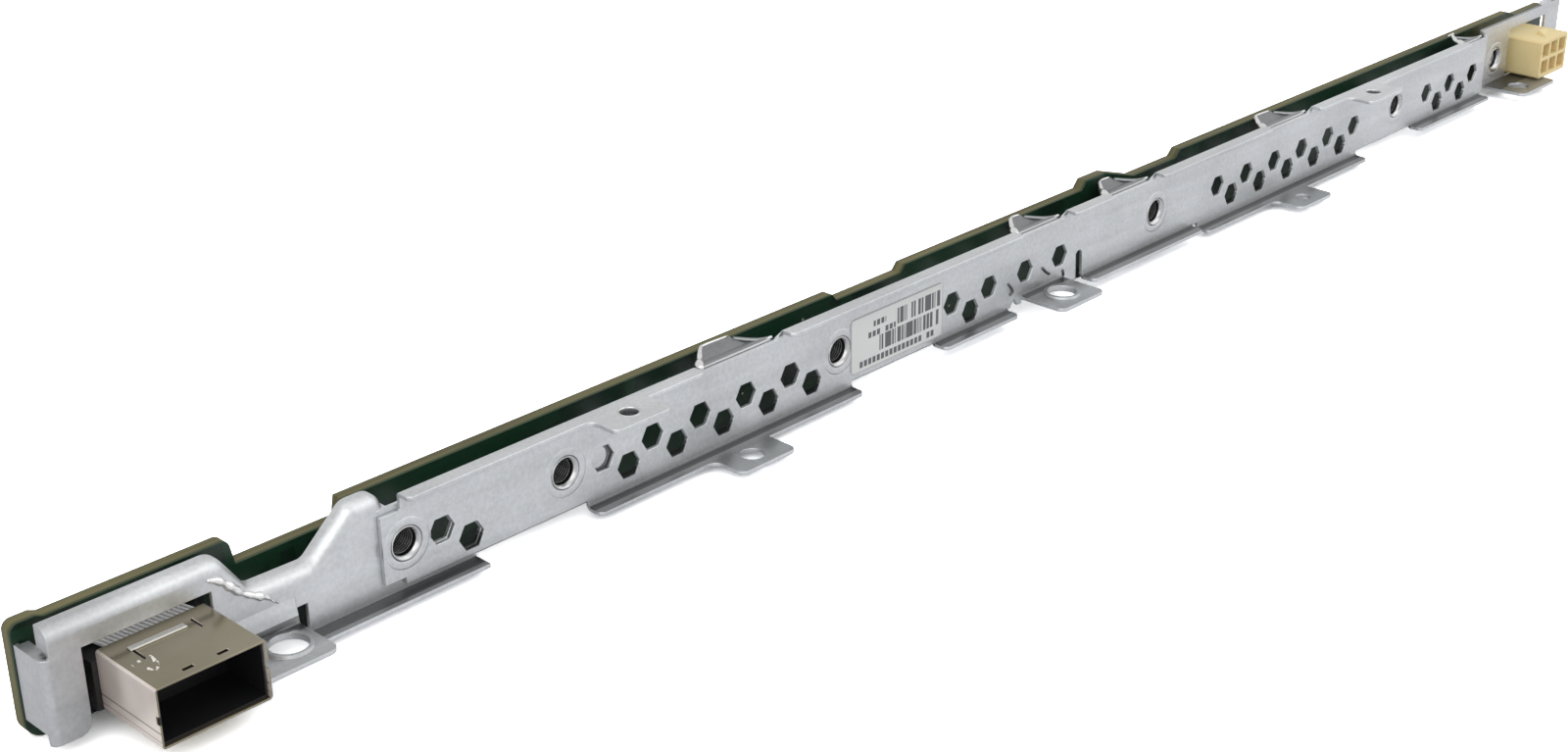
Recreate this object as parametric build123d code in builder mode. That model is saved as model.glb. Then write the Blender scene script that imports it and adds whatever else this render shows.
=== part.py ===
from build123d import *
import os

os.makedirs("parts", exist_ok=True)

# Sizes in millimetres, measured from the rail: x = 0 at the middle vent column,
# y = 0 on the rail's front face (the board lies towards +y), z = 0 on the upper vent row.

# Sheet metal
SHEET = 0.8
BEND = 0.5
RAIL_LEFT = -149.0
STEP_X = 180.5
STEP_BACK = 3.0
FRAME_RIGHT = 224.0
RAIL_TOP = 9.0
TOP_REACH = 2.4
FREE_EDGE = -6.4
LOW_EDGE = -8.3
HIGH_EDGE = -7.2
LIP_REACH = 3.1
EAR_REACH = 9.8
MID_EAR_REACH = 10.2
FAR_EAR_REACH = 7.8
TOP_EAR_REACH = 8.3
END_EAR_REACH = 9.6
STRIP_REACH = 2.6
CORNER = 1.5
CORNER_CUT = 0.7
COLLAR_WALL = 0.7
COLLAR_HEIGHT = 0.5
FAR_TOP = 8.2
KNOB_HIGH = 1.0

# Ear holes, as (x, y, diameter)
END_HOLE = (-172.9, -4.0, 6.0)
LEFT_HOLE = (-80.8, -5.7, 4.2)
MID_HOLE = (5.5, -4.9, 5.6)
RIGHT_HOLE = (90.1, -6.0, 3.2)
FAR_HOLE = (193.5, -3.0, 4.7)
TOP_HOLES = [(-106.9, -4.3, 3.2), (119.4, -4.3, 3.2)]

# Vents
VENT_PITCH = 10.9
VENT_FLATS = 4.25
VENT_DROP = 3.15
UPPER_VENTS = [-13, -10, -9, -8, -7, -6, -2, -1, 0, 1, 6, 7, 8, 9, 10, 11, 14, 15, 16]
LOWER_VENTS = [-12.5, -9.5, -8.5, -7.5, -6.5, -5.5, -1.5, 6.5, 7.5, 8.5, 9.5, 10.5, 14.5, 15.5]

# Board
BOARD_LEFT = -207.6
BOARD_RIGHT = 225.0
BOARD_LOW = -9.6
BOARD_TOP = 7.0
BOARD_THICK = 2.4
BOARD_ROUND = 3.0

# Standoffs and screws
STAND_LENGTH = 7.2
STAND_OD = 5.6
BORE_D = 4.2
SCREW_D = 3.9
SCREW_HEAD_D = 6.0
SCREW_HEAD_H = 1.9
SCREW_GRIP = 6.2
FIT = 0.1
STANDS = [(-148.4, 0.4), (-117.0, 0.4), (-52.8, 0.4), (42.8, 0.4), (138.4, 0.4), (191.5, -0.9)]

# Serial port
PORT_X = -190.3
PORT_Z = -1.0
PORT_W = 17.4
PORT_H = 9.4
PORT_MOUTH = -12.7
PORT_WALL = 0.35
PORT_END = 2.0
WINDOW_SIDE = 1.4
INSERT_WALL = 0.3
INSERT_FACE = -3.0
TONGUE_W = 14.0
TONGUE_H = 1.7
TONGUE_TIP = -6.4
TONGUE_LIFT = 1.2
REAR_W = 19.0
REAR_TOP = 2.0
REAR_WALL_Y = 6.2
REAR_WALL_TOP = 4.9
TAIL_COUNT = 18
TAIL_PITCH = 0.8
TAIL_W = 0.4

# Power header
POWER_X = 207.3
POWER_Z = -1.8
POWER_MOUTH = -4.8
CELL = 4.2
CELL_HOLE = 3.3
CELL_RIM = 0.6
CELL_DEEP = 9.0
HEADER_GAP = 2.4
PIN = 1.1

# Drive sockets
SOCKET_PITCH = 107.0
SOCKET_X = -156.0
SOCKET_Z = -5.6
SOCKET_W = 42.6
SOCKET_H = 5.6
SOCKET_DEEP = 8.6
SOCKET_BODY = 6.4
SLOT_W = 33.4
SLOT_H = 1.9
CONTACT_COUNT = 22
CONTACT_PITCH = 1.27
CONTACT_W = 0.8
CONTACT_T = 0.35

# Label
LABEL_X = -37.3
LABEL_W = 25.2
LABEL_H = 10.7
LABEL_T = 0.12

# Derived places
BOARD_FRONT = SHEET + STAND_LENGTH
BOARD_BACK = BOARD_FRONT + BOARD_THICK
PORT_TOP = PORT_Z + PORT_H / 2
POWER_W = 3 * CELL + 2 * CELL_RIM
POWER_H = 2 * CELL + 2 * CELL_RIM
POWER_TOP = POWER_Z + POWER_H / 2
SHIFT = Vector(
    -(BOARD_LEFT + BOARD_RIGHT) / 2,
    -(PORT_MOUTH + BOARD_BACK + SOCKET_DEEP) / 2,
    -BOARD_LOW,
)


def front(y):
    """Upright plane at depth y, drawn as (x, z); a negative extrude goes towards the board."""
    return Plane(SHIFT + Vector(0, y, 0), x_dir=(1, 0, 0), z_dir=(0, -1, 0))


def plan(z):
    """Level plane at height z, drawn as (x, y)."""
    return Plane(SHIFT + Vector(0, 0, z))


def side(x):
    """Cross-section plane at x, drawn as (y, z)."""
    return Plane(SHIFT + Vector(x, 0, 0), x_dir=(0, 1, 0), z_dir=(1, 0, 0))


def block(x0, x1, y0, y1, z0, z1, mode=Mode.ADD):
    """Straight block between two corners, in the rail's measures."""
    with BuildSketch(plan(z0)) as base:
        with Locations(((x0 + x1) / 2, (y0 + y1) / 2)):
            Rectangle(x1 - x0, y1 - y0)
    extrude(base.sketch, amount=z1 - z0, mode=mode)


def formed(x0, x1, *points, radius=BEND + SHEET, away=Side.RIGHT, mode=Mode.ADD):
    """Sheet strip from x0 to x1: its outer face follows the (y, z) points."""
    with BuildSketch(side(x0)) as section:
        with BuildLine():
            FilletPolyline(*points, radius=radius)
            offset(amount=SHEET, side=away)
        make_face()
    extrude(section.sketch, amount=x1 - x0, mode=mode)


def lip(x0, x1, edge, reach, back=0.0):
    """Bottom flange bent forward, its under side at height edge."""
    root = edge + SHEET + BEND + 1
    formed(x0, x1, (back + SHEET, root), (back + SHEET, edge), (-reach, edge))


def tab(x0, x1, level, reach):
    """Flat ear that carries on from a flange whose under side is at height level."""
    block(x0, x1, -reach, -BEND, level, level + SHEET)


def collar(x, y, size, level):
    """Hole through an ear, with its rim drawn upward."""
    with BuildSketch(plan(level)) as outer:
        with Locations((x, y)):
            Circle(size / 2 + COLLAR_WALL)
    extrude(outer.sketch, amount=SHEET + COLLAR_HEIGHT)
    with BuildSketch(plan(level)) as inner:
        with Locations((x, y)):
            Circle(size / 2)
    extrude(inner.sketch, amount=SHEET + COLLAR_HEIGHT, mode=Mode.SUBTRACT)


def hole(x, y, size, level):
    """Plain round hole through an ear."""
    with BuildSketch(plan(level)) as bore:
        with Locations((x, y)):
            Circle(size / 2)
    extrude(bore.sketch, amount=SHEET, mode=Mode.SUBTRACT)


# Board: a long laminate strip with stepped top edge and rounded corners
with BuildPart() as board:
    with BuildSketch(front(BOARD_FRONT)):
        with BuildLine():
            Polyline(
                (BOARD_LEFT, BOARD_LOW), (BOARD_LEFT, BOARD_TOP + 1.6), (-203.6, BOARD_TOP + 1.6),
                (-202.4, BOARD_TOP + 1.1), (-173.4, BOARD_TOP + 1.1), (-172.6, BOARD_TOP - 3.1),
                (-154.3, BOARD_TOP - 3.1), (-153.7, BOARD_TOP), (-46.0, BOARD_TOP),
                (-44.8, BOARD_TOP - 1.4), (-27.2, BOARD_TOP - 1.4), (-26.0, BOARD_TOP),
                (28.2, BOARD_TOP), (29.6, BOARD_TOP + 1.7), (36.0, BOARD_TOP + 1.7),
                (46.0, BOARD_TOP - 1.5), (61.0, BOARD_TOP - 1.5), (62.6, BOARD_TOP),
                (206.5, BOARD_TOP), (210.5, BOARD_TOP - 1.5), (BOARD_RIGHT, BOARD_TOP - 1.5),
                (BOARD_RIGHT, BOARD_LOW), close=True,
            )
        make_face()
        fillet(vertices().sort_by(Axis.X)[:2].sort_by(Axis.Y)[1:], radius=BOARD_ROUND / 2)
        fillet(vertices().sort_by(Axis.X)[:2].sort_by(Axis.Y)[:1], radius=BOARD_ROUND)
        fillet(vertices().filter_by(
            lambda v: abs(v.X + 173.4) < 0.1 and v.Y > BOARD_TOP), radius=BOARD_ROUND / 2)
    extrude(amount=-BOARD_THICK)
    with BuildSketch(front(BOARD_FRONT)):
        with Locations(*STANDS):
            Circle(SCREW_D / 2 + FIT)
    extrude(amount=-BOARD_THICK, mode=Mode.SUBTRACT)

# Main rail: wall, hexagonal vents, flanges, ears, board tabs and the stepped far frame
TOP_STRIPS = [(RAIL_LEFT, -88.0), (-67.0, -3.3), (13.0, 25.5), (42.5, 82.4), (101.5, 168.5)]
BOARD_TABS = [(-86.3, -67.8), (-2.3, 12.4), (26.4, 41.8), (83.4, 100.8), (169.5, 180.0)]
TAB_TOP = RAIL_TOP - SHEET
TAB_DIP_Y = 4.2
TAB_DIP = 1.3
TAB_RISE = 0.4
TAB_LEFT_CUT = 6.6
TAB_RIGHT_CUT = 5.0
EARS_LOW = [(-87.0, -74.0), (84.0, 96.5)]
TOP_EARS = [(-113.2, -100.8), (112.7, 126.0)]
MID_EAR = (-1.0, 12.4)
FAR_EAR = (187.5, 204.0)
MID_EAR_LEVEL = -5.6
FAR_EAR_LEVEL = -7.6
TONGUE_OUT = 3.8
TONGUE_SPAN = (-5.3, 6.2)
LIPS_LOW = [(-112.5, -49.5), (58.8, 122.0)]
LIPS_HIGH = [(-26.8, -5.2), (18.6, 56.5), (146.0, 179.0)]
NOTCH_X = -3.1
NOTCH_Z = -4.7
SLIT_X = 17.2
FAR_KNOB = (214.0, 219.0)
FAR_WINDOW_TOP = 5.3
WALL_LOW = HIGH_EDGE + SHEET + BEND
WALL_HIGH = RAIL_TOP - SHEET - BEND

with BuildPart() as main_rail:
    with BuildSketch(plan(FREE_EDGE)):
        with BuildLine():
            FilletPolyline(
                (RAIL_LEFT, SHEET), (STEP_X, SHEET), (STEP_X + STEP_BACK, SHEET + STEP_BACK),
                (FRAME_RIGHT, SHEET + STEP_BACK), radius=BEND + SHEET,
            )
            offset(amount=SHEET, side=Side.RIGHT)
        make_face()
    extrude(amount=WALL_HIGH - FREE_EDGE)
    block(RAIL_LEFT - TONGUE_OUT, RAIL_LEFT + 1, 0, SHEET, *TONGUE_SPAN)
    for x0, x1 in TOP_STRIPS:
        formed(x0, x1, (SHEET, WALL_HIGH - 1), (SHEET, RAIL_TOP), (-TOP_REACH, RAIL_TOP),
               radius=SHEET, away=Side.LEFT)
    for x0, x1 in TOP_EARS:
        tab(x0, x1, RAIL_TOP - SHEET, TOP_EAR_REACH)
    for x0, x1 in LIPS_LOW:
        block(x0, x1, 0, SHEET, LOW_EDGE + SHEET + BEND, FREE_EDGE)
        lip(x0, x1, LOW_EDGE, LIP_REACH)
    for x0, x1 in EARS_LOW:
        tab(x0, x1, LOW_EDGE, EAR_REACH)
    for x0, x1 in LIPS_HIGH:
        block(x0, x1, -1, SHEET, FREE_EDGE, WALL_LOW, mode=Mode.SUBTRACT)
        lip(x0, x1, HIGH_EDGE, LIP_REACH)
    block(MID_EAR[0], MID_EAR[1], -1, 1, FREE_EDGE, MID_EAR_LEVEL + SHEET + BEND,
          mode=Mode.SUBTRACT)
    lip(MID_EAR[0], MID_EAR[1], MID_EAR_LEVEL, MID_EAR_REACH)
    block(FAR_EAR[0], FAR_EAR[1], STEP_BACK, STEP_BACK + SHEET, FAR_EAR_LEVEL + SHEET + BEND,
          FREE_EDGE)
    formed(FAR_EAR[0], FAR_EAR[1], (STEP_BACK + SHEET, FREE_EDGE + 0.5),
           (STEP_BACK + SHEET, FAR_EAR_LEVEL), (-FAR_EAR_REACH, FAR_EAR_LEVEL), radius=1.1)
    for x0, x1 in BOARD_TABS:
        formed(x0, x1, (SHEET, WALL_HIGH - 2.5), (SHEET, TAB_TOP - SHEET),
               (TAB_DIP_Y, TAB_TOP - SHEET - TAB_DIP), (BOARD_FRONT, TAB_TOP - SHEET - TAB_RISE),
               radius=SHEET, away=Side.LEFT)
        with BuildSketch(plan(WALL_HIGH - 3)) as cuts:
            with BuildLine():
                Polyline((x0 - 0.1, SHEET), (x0 - 0.1, BOARD_FRONT + 1),
                         (x0 + TAB_LEFT_CUT, BOARD_FRONT + 1),
                         (x0 + TAB_LEFT_CUT, BOARD_FRONT - 0.8),
                         (x0 + TAB_LEFT_CUT / 2, TAB_DIP_Y), close=True)
            make_face()
            with BuildLine():
                Polyline((x1 + 0.1, SHEET), (x1 + 0.1, BOARD_FRONT + 1),
                         (x1 - TAB_RIGHT_CUT, BOARD_FRONT + 1),
                         (x1 - TAB_RIGHT_CUT, BOARD_FRONT - 1.4), (x1 - 1.0, SHEET), close=True)
            make_face()
        extrude(cuts.sketch, amount=6, mode=Mode.SUBTRACT)
    block(STEP_X + STEP_BACK, FRAME_RIGHT, STEP_BACK, STEP_BACK + SHEET, WALL_HIGH, FAR_TOP)
    block(FAR_KNOB[0], FAR_KNOB[1], STEP_BACK, STEP_BACK + SHEET, FAR_TOP, FAR_TOP + KNOB_HIGH)
    corners = main_rail.edges().filter_by(Axis.Z).filter_by(
        lambda e: abs(e.length - SHEET) < 0.01 and e.center().Y < SHIFT.Y - 1.5)
    ear_sides = [x for ear in EARS_LOW + TOP_EARS for x in ear]
    at_root = [e for e in corners if e.center().Y > SHIFT.Y - LIP_REACH - 0.5
               and min(abs(e.center().X - SHIFT.X - x) for x in ear_sides) < 0.1]
    ear_ends = [e for e in corners if e.center().Y < SHIFT.Y - LIP_REACH - 0.5]
    left_roots = [e for e in at_root
                  if min(abs(e.center().X - SHIFT.X - x) for x in ear_sides[::2]) < 0.1]
    plain = [e for e in corners if e not in at_root and e not in ear_ends]
    fillet(ear_ends + left_roots, radius=CORNER)
    chamfer(plain, CORNER_CUT)
    collar(*MID_HOLE, MID_EAR_LEVEL)
    hole(*FAR_HOLE, FAR_EAR_LEVEL)
    hole(*LEFT_HOLE, LOW_EDGE)
    hole(*RIGHT_HOLE, LOW_EDGE)
    for place in TOP_HOLES:
        hole(*place, RAIL_TOP - SHEET)
    with BuildSketch(front(0)):
        with Locations(*[(VENT_PITCH * i, 0) for i in UPPER_VENTS]):
            RegularPolygon(VENT_FLATS / 2, 6, major_radius=False)
        with Locations(*[(VENT_PITCH * i, -VENT_DROP) for i in LOWER_VENTS]):
            RegularPolygon(VENT_FLATS / 2, 6, major_radius=False)
        with Locations(*STANDS[:5]):
            Circle(STAND_OD / 2 + FIT)
        with BuildLine():
            Polyline((NOTCH_X, NOTCH_Z), (NOTCH_X - 1.6, FREE_EDGE - 1),
                     (NOTCH_X + 1.6, FREE_EDGE - 1), close=True)
        make_face()
        with BuildLine():
            Polyline((SLIT_X - 1.0, -1.2), (SLIT_X - 0.4, -0.6), (SLIT_X + 0.4, -0.6),
                     (SLIT_X + 1.0, -1.2), (SLIT_X + 1.4, FREE_EDGE - 1),
                     (SLIT_X - 0.7, FREE_EDGE - 1), close=True)
        make_face()
    extrude(amount=-SHEET, mode=Mode.SUBTRACT)
    with BuildSketch(front(STEP_BACK)):
        with Locations(STANDS[5]):
            Circle(STAND_OD / 2 + FIT)
        with Locations((POWER_X, (FAR_WINDOW_TOP + FREE_EDGE - 1) / 2)):
            Rectangle(POWER_W + 2 * HEADER_GAP, FAR_WINDOW_TOP - FREE_EDGE + 1)
    extrude(amount=-SHEET, mode=Mode.SUBTRACT)

# End bracket: the plate behind the rail's left end, with a drawn top rim and a collar ear
BRACKET_Y = SHEET
PLATE_BACK = BRACKET_Y + SHEET
BRACKET_LEFT = -207.4
LOBE_LOW = -7.6
LOBE_HIGH = 5.8
RIM_LEFT = BRACKET_LEFT + BEND + SHEET
RIM_TOP = 10.0
RIM_DEEP = 3.2
RIM_ROUND = 2.0
RIM_END = (-150.8, 7.0)
RIM_LEVEL = [(-179.2, RIM_TOP), (-174.6, 3.2), (-164.5, 3.0), (-157.0, 9.6), (-151.8, 9.6)]
RIM_CORNERS = [3.0, 2.2, 2.2, 2.6, 2.6]
PLATE_RIGHT = -106.3
PLATE_LOW = -0.5
STRIP = (-166.0, -135.0)
END_EAR = (-181.2, -168.0)
END_EAR_LEVEL = -5.6
RELIEF_TOP = -2.7
WINDOW_X = PORT_X - 1.0
WINDOW_W = PORT_W + 2 * WINDOW_SIDE
WINDOW_TOP = 5.6
WINDOW_LOW = -8.0

with BuildPart() as end_bracket:
    with BuildSketch(front(BRACKET_Y)):
        with BuildLine():
            FilletPolyline((RIM_LEFT, RIM_TOP), *RIM_LEVEL, RIM_END, radius=RIM_CORNERS)
            Polyline(RIM_END, (PLATE_RIGHT, RIM_END[1]), (PLATE_RIGHT, PLATE_LOW),
                     (RIM_LEFT, PLATE_LOW), (RIM_LEFT, RIM_TOP))
        make_face()
    extrude(amount=-RIM_DEEP)
    rim = end_bracket.faces().sort_by(Axis.Y)[0].outer_wire().edges().filter_by(
        lambda e: e.center().Z > SHIFT.Z + 2.9 and e.center().X < SHIFT.X + RIM_END[0] - 0.2
        and e.center().X > SHIFT.X + RIM_LEFT + 0.2)
    fillet(rim, radius=RIM_ROUND)
    with BuildSketch(front(PLATE_BACK)):
        with BuildLine():
            FilletPolyline((RIM_LEFT, RIM_TOP), *RIM_LEVEL, RIM_END, radius=RIM_CORNERS)
            Polyline(RIM_END, (PLATE_RIGHT, RIM_END[1]), (PLATE_RIGHT, PLATE_LOW),
                     (RIM_LEFT, PLATE_LOW), (RIM_LEFT, RIM_TOP))
        make_face()
        offset(amount=-SHEET, mode=Mode.REPLACE)
    hollow = extrude(amount=-RIM_DEEP, mode=Mode.PRIVATE)
    add(hollow, mode=Mode.SUBTRACT)
    behind = (PLATE_BACK, BRACKET_Y + RIM_DEEP + 1)
    block(RIM_END[0] + 0.3, PLATE_RIGHT + 1, *behind, PLATE_LOW - 1, RIM_TOP, Mode.SUBTRACT)
    block(RIM_LEFT - 1, RIM_END[0] + 1, *behind, PLATE_LOW - 1, 0.4, Mode.SUBTRACT)
    block(RIM_LEFT - 1, RIM_LEFT + SHEET + 0.2, *behind, 0, LOBE_HIGH + 0.6, Mode.SUBTRACT)
    with BuildSketch(plan(LOBE_LOW)) as lobe:
        with BuildLine():
            FilletPolyline((WINDOW_X - WINDOW_W / 2, BRACKET_Y), (BRACKET_LEFT, BRACKET_Y),
                           (BRACKET_LEFT, BOARD_FRONT), radius=BEND + SHEET)
            offset(amount=SHEET, side=Side.RIGHT)
        make_face()
    extrude(lobe.sketch, amount=LOBE_HIGH - LOBE_LOW)
    block(BRACKET_LEFT - 1, BRACKET_LEFT + SHEET + 0.1, PLATE_BACK + BEND, BOARD_FRONT + 1,
          LOBE_LOW - 1, LOBE_LOW + 1.6, Mode.SUBTRACT)
    block(BRACKET_LEFT, RIM_LEFT + 0.8, PLATE_BACK + BEND, BOARD_FRONT - 0.5,
          LOBE_HIGH - SHEET, LOBE_HIGH)
    block(STRIP[0], PLATE_RIGHT, BRACKET_Y, PLATE_BACK, FREE_EDGE + 0.2, PLATE_LOW)
    block(END_EAR[1] - 0.1, STRIP[0] + 0.1, BRACKET_Y, PLATE_BACK, RELIEF_TOP, PLATE_LOW + 0.1)
    with BuildSketch(front(BRACKET_Y)):
        with Locations((WINDOW_X, (WINDOW_TOP + WINDOW_LOW) / 2)):
            Rectangle(WINDOW_W, WINDOW_TOP - WINDOW_LOW)
        with Locations((VENT_PITCH * -13, 0), (VENT_PITCH * -12.5, -VENT_DROP)):
            RegularPolygon(VENT_FLATS / 2, 6, major_radius=False)
        with Locations(*STANDS[:2]):
            Circle(STAND_OD / 2 + FIT)
    extrude(amount=-SHEET, mode=Mode.SUBTRACT)
    formed(*END_EAR, (PLATE_BACK, 0.6), (PLATE_BACK, -0.8), (PLATE_BACK - 0.8, END_EAR_LEVEL),
           (-END_EAR_REACH, END_EAR_LEVEL), radius=1.1)
    formed(*STRIP, (PLATE_BACK, -6.0), (PLATE_BACK, LOW_EDGE), (-STRIP_REACH, LOW_EDGE),
           radius=SHEET)
    ear_corners = end_bracket.edges().filter_by(Axis.Z).filter_by(
        lambda e: abs(e.length - SHEET) < 0.01 and e.center().Y < SHIFT.Y - STRIP_REACH - 1)
    fillet(ear_corners, radius=CORNER)
    collar(*END_HOLE, END_EAR_LEVEL)

# Standoffs: tubes pressed through the wall, open at the front and seated on the board
with BuildPart() as standoffs:
    for x, z in STANDS:
        face = STEP_BACK if x > STEP_X else 0.0
        with BuildSketch(front(face)):
            with Locations((x, z)):
                Circle(STAND_OD / 2)
                Circle(BORE_D / 2, mode=Mode.SUBTRACT)
        extrude(amount=face - BOARD_FRONT)

# Screws: put in from the drive side
with BuildPart() as board_screws:
    with BuildSketch(front(BOARD_BACK + SCREW_HEAD_H)):
        with Locations(*STANDS):
            RegularPolygon(SCREW_HEAD_D / 2, 6)
    extrude(amount=SCREW_HEAD_H)
    with BuildSketch(front(BOARD_BACK)):
        with Locations(*STANDS):
            Circle(SCREW_D / 2)
    extrude(amount=SCREW_GRIP)

# Serial port cage: thin folded shell, open mouth with side notches, slots in its top
with BuildPart() as port_cage:
    with BuildSketch(front(PORT_MOUTH)):
        with Locations((PORT_X, PORT_Z)):
            Rectangle(PORT_W, PORT_H)
            Rectangle(PORT_W - 2 * PORT_WALL, PORT_H - 2 * PORT_WALL, mode=Mode.SUBTRACT)
    extrude(amount=PORT_MOUTH - PORT_END)
    long_edges = port_cage.edges().filter_by(Axis.Y).group_by(Axis.Z)
    chamfer(long_edges[0] + long_edges[-1], PORT_WALL)
    for face_x, notch_z in ((PORT_X - PORT_W / 2, -1.9), (PORT_X + PORT_W / 2, -0.9)):
        block(face_x - 1, face_x + 1, PORT_MOUTH - 1, PORT_MOUTH + 0.8, notch_z, notch_z + 1.3,
              mode=Mode.SUBTRACT)
    with BuildSketch(plan(PORT_TOP)):
        with Locations((PORT_X - 5.1, -3.4), (PORT_X + 4.8, -1.8)):
            Rectangle(0.5, 3.0)
        with Locations((PORT_X - 2.5, -11.0), (PORT_X + 2.9, -11.0)):
            Rectangle(1.8, 0.7)
    extrude(amount=-PORT_WALL, mode=Mode.SUBTRACT)

# Port insert: dark lining from the mouth, tongue, and the body between bracket and board
LINER_W = PORT_W - 2 * PORT_WALL - FIT
LINER_H = PORT_H - 2 * PORT_WALL - FIT
REAR_LOW = PORT_Z - PORT_H / 2
with BuildPart() as port_insert:
    with BuildSketch(front(PORT_MOUTH + 0.6)):
        with Locations((PORT_X, PORT_Z)):
            Rectangle(LINER_W, LINER_H)
    extrude(amount=PORT_MOUTH + 0.6 - PORT_END)
    with BuildSketch(front(PORT_MOUTH + 0.6)):
        with Locations((PORT_X, PORT_Z)):
            Rectangle(LINER_W - 2 * INSERT_WALL, LINER_H - 2 * INSERT_WALL)
    extrude(amount=PORT_MOUTH + 0.6 - INSERT_FACE, mode=Mode.SUBTRACT)
    with BuildSketch(front(TONGUE_TIP)):
        with Locations((PORT_X, PORT_Z + TONGUE_LIFT)):
            Rectangle(TONGUE_W, TONGUE_H)
    extrude(amount=TONGUE_TIP - INSERT_FACE)
    block(PORT_X - REAR_W / 2, PORT_X + REAR_W / 2, PORT_END, BOARD_FRONT, REAR_LOW, REAR_TOP)
    block(PORT_X - REAR_W / 2, PORT_X + REAR_W / 2, REAR_WALL_Y, BOARD_FRONT,
          REAR_TOP - 0.5, REAR_WALL_TOP)
    for x in (PORT_X - REAR_W / 2, PORT_X + REAR_W / 2):
        block(x - 0.4, x + 0.4, PORT_END + 2.0, PORT_END + 2.8, REAR_LOW, REAR_TOP)

with BuildPart() as port_contacts:
    for place in range(TAIL_COUNT):
        x = PORT_X + (place - (TAIL_COUNT - 1) / 2) * TAIL_PITCH - TAIL_W / 2
        with BuildSketch(side(x)) as tail:
            with BuildLine():
                Polyline((PORT_END + 0.05, PORT_TOP - 0.1), (REAR_WALL_Y, REAR_TOP + 0.8),
                         (REAR_WALL_Y, REAR_TOP + 0.4), (PORT_END + 0.05, PORT_TOP - 0.5),
                         close=True)
            make_face()
        extrude(tail.sketch, amount=TAIL_W)

with BuildPart() as port_spring:
    block(PORT_X - 5.6, PORT_X + 3.2, -2.1, -0.9, PORT_TOP, PORT_TOP + 0.25)

# Power header: nylon block with two rows of square cells and a latch ramp on top
PIN_START = 2.2
RAMP_W = 3.4
RAMP_HIGH = 1.1
RAMP_START = 1.5
RAMP_PEAK = 3.6
RAMP_END = 4.2

with BuildPart() as power_housing:
    block(POWER_X - POWER_W / 2, POWER_X + POWER_W / 2, POWER_MOUTH, BOARD_FRONT,
          POWER_Z - POWER_H / 2, POWER_TOP)
    chamfer(power_housing.edges().filter_by(Axis.Y), 0.5)
    with BuildSketch(front(POWER_MOUTH)):
        with Locations((POWER_X, POWER_Z)):
            with GridLocations(CELL, CELL, 3, 2):
                Rectangle(CELL_HOLE, CELL_HOLE)
    extrude(amount=-CELL_DEEP, mode=Mode.SUBTRACT)
    with BuildSketch(side(POWER_X - RAMP_W / 2)):
        with BuildLine():
            Polyline((POWER_MOUTH + RAMP_START, POWER_TOP - 0.1),
                     (POWER_MOUTH + RAMP_PEAK, POWER_TOP + RAMP_HIGH),
                     (POWER_MOUTH + RAMP_END, POWER_TOP + RAMP_HIGH),
                     (POWER_MOUTH + RAMP_END, POWER_TOP - 0.1), close=True)
        make_face()
    extrude(amount=RAMP_W)

with BuildPart() as power_pins:
    with BuildSketch(front(POWER_MOUTH + PIN_START)):
        with Locations((POWER_X, POWER_Z)):
            with GridLocations(CELL, CELL, 3, 2):
                Rectangle(PIN, PIN)
    extrude(amount=PIN_START - CELL_DEEP)

# Drive sockets on the board's far side: slotted bodies with guide arms, and their contacts
SLOT_FLOOR = 1.4
ARM_W = 3.2
SOCKET_CHAMFER = 0.9
CONTACT_BACK = 1.8

socket_parts = []
contact_parts = []
for bay in range(4):
    centre = SOCKET_X + bay * SOCKET_PITCH
    with BuildPart() as socket:
        block(centre - SOCKET_W / 2 + 2, centre + SOCKET_W / 2 - 2, BOARD_BACK,
              BOARD_BACK + SOCKET_BODY, SOCKET_Z - SOCKET_H / 2, SOCKET_Z + SOCKET_H / 2)
        for end in (-1, 1):
            arm = centre + end * (SOCKET_W / 2 - ARM_W / 2)
            block(arm - ARM_W / 2, arm + ARM_W / 2, BOARD_BACK, BOARD_BACK + SOCKET_DEEP,
                  SOCKET_Z - SOCKET_H / 2, SOCKET_Z + SOCKET_H / 2)
        chamfer(socket.faces().sort_by(Axis.Y)[-2:].edges().filter_by(Axis.X), SOCKET_CHAMFER)
        with BuildSketch(front(BOARD_BACK + SOCKET_BODY)):
            with Locations((centre, SOCKET_Z)):
                Rectangle(SLOT_W, SLOT_H)
            with Locations((centre - SLOT_W / 2 + 0.6, SOCKET_Z + 0.8),
                           (centre + 2.6, SOCKET_Z + 0.8)):
                Rectangle(1.2, SLOT_H + 1.2)
        extrude(amount=SOCKET_BODY - SLOT_FLOOR, mode=Mode.SUBTRACT)
    socket.part.label = f"drive_socket_{bay + 1}"
    socket_parts.append(socket.part)
    with BuildPart() as contacts:
        with BuildSketch(front(BOARD_BACK + SLOT_FLOOR)):
            with Locations((centre, SOCKET_Z - SLOT_H / 2 + CONTACT_T / 2)):
                with GridLocations(CONTACT_PITCH, 1, CONTACT_COUNT, 1):
                    Rectangle(CONTACT_W, CONTACT_T)
        extrude(amount=CONTACT_BACK - SOCKET_BODY)
    contacts.part.label = f"socket_contacts_{bay + 1}"
    contact_parts.append(contacts.part)

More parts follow.
